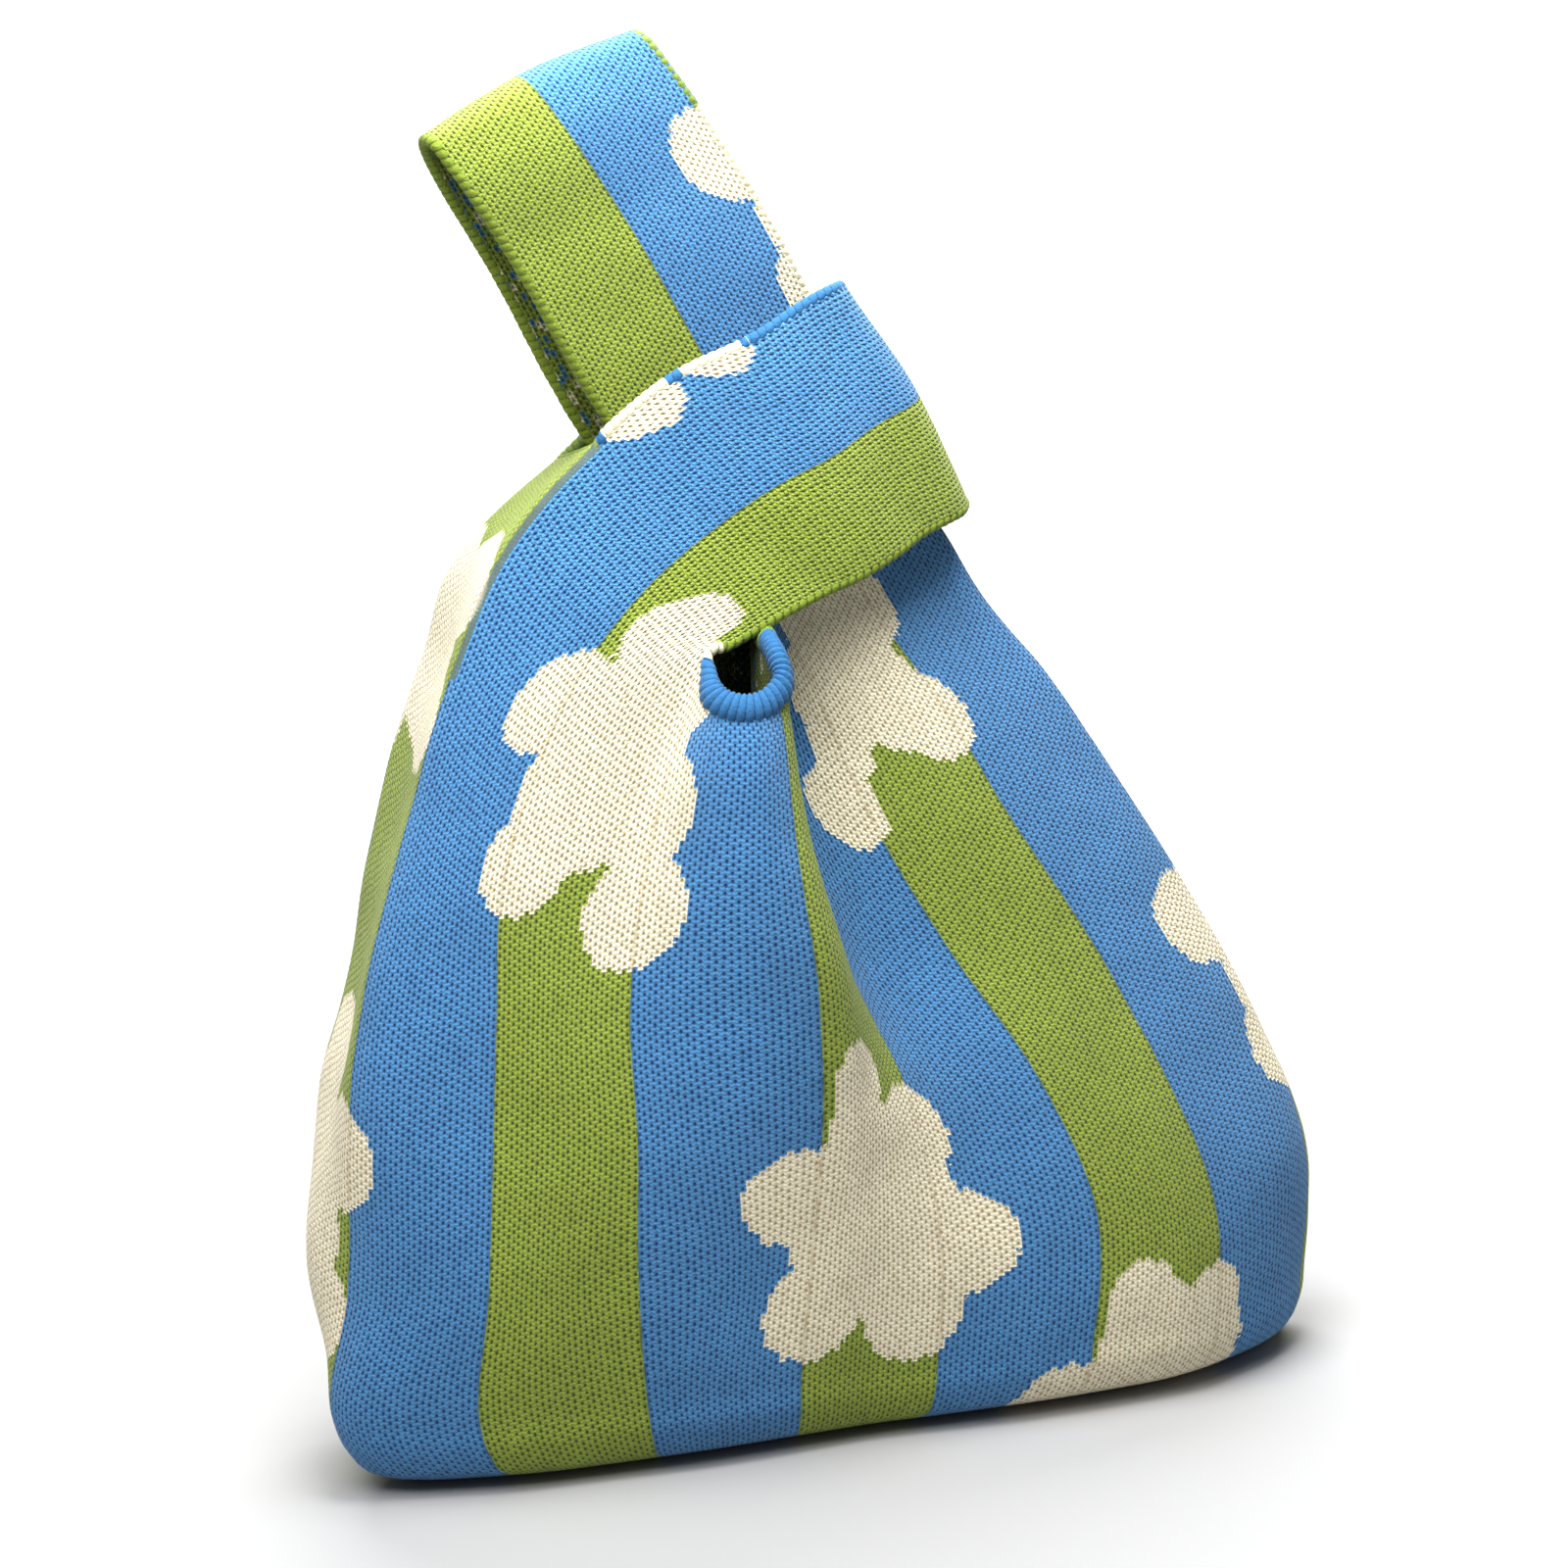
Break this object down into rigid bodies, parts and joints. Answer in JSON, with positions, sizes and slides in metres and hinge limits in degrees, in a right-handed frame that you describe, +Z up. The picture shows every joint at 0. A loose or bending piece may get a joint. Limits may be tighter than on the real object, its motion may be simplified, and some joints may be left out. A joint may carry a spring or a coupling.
{
  "type": "knot bag",
  "caption": "Soft knitted bag in one piece, standing shut, its long strap drawn through the loop of the short one as a wrist handle.",
  "frame": {"origin": "on the floor, under the middle of the bag's box", "axes": "+Z up, +X to the right and -Y towards the viewer, who faces the front"},
  "size_m": [0.2598, 0.0916, 0.3311],
  "materials": {
    "knit": "matte colour-work knit, sky blue and green stripes with cream motifs"
  },
  "bodies": {
    "root": {"knitted_bag": "knit"}
  },
  "joints": []
}
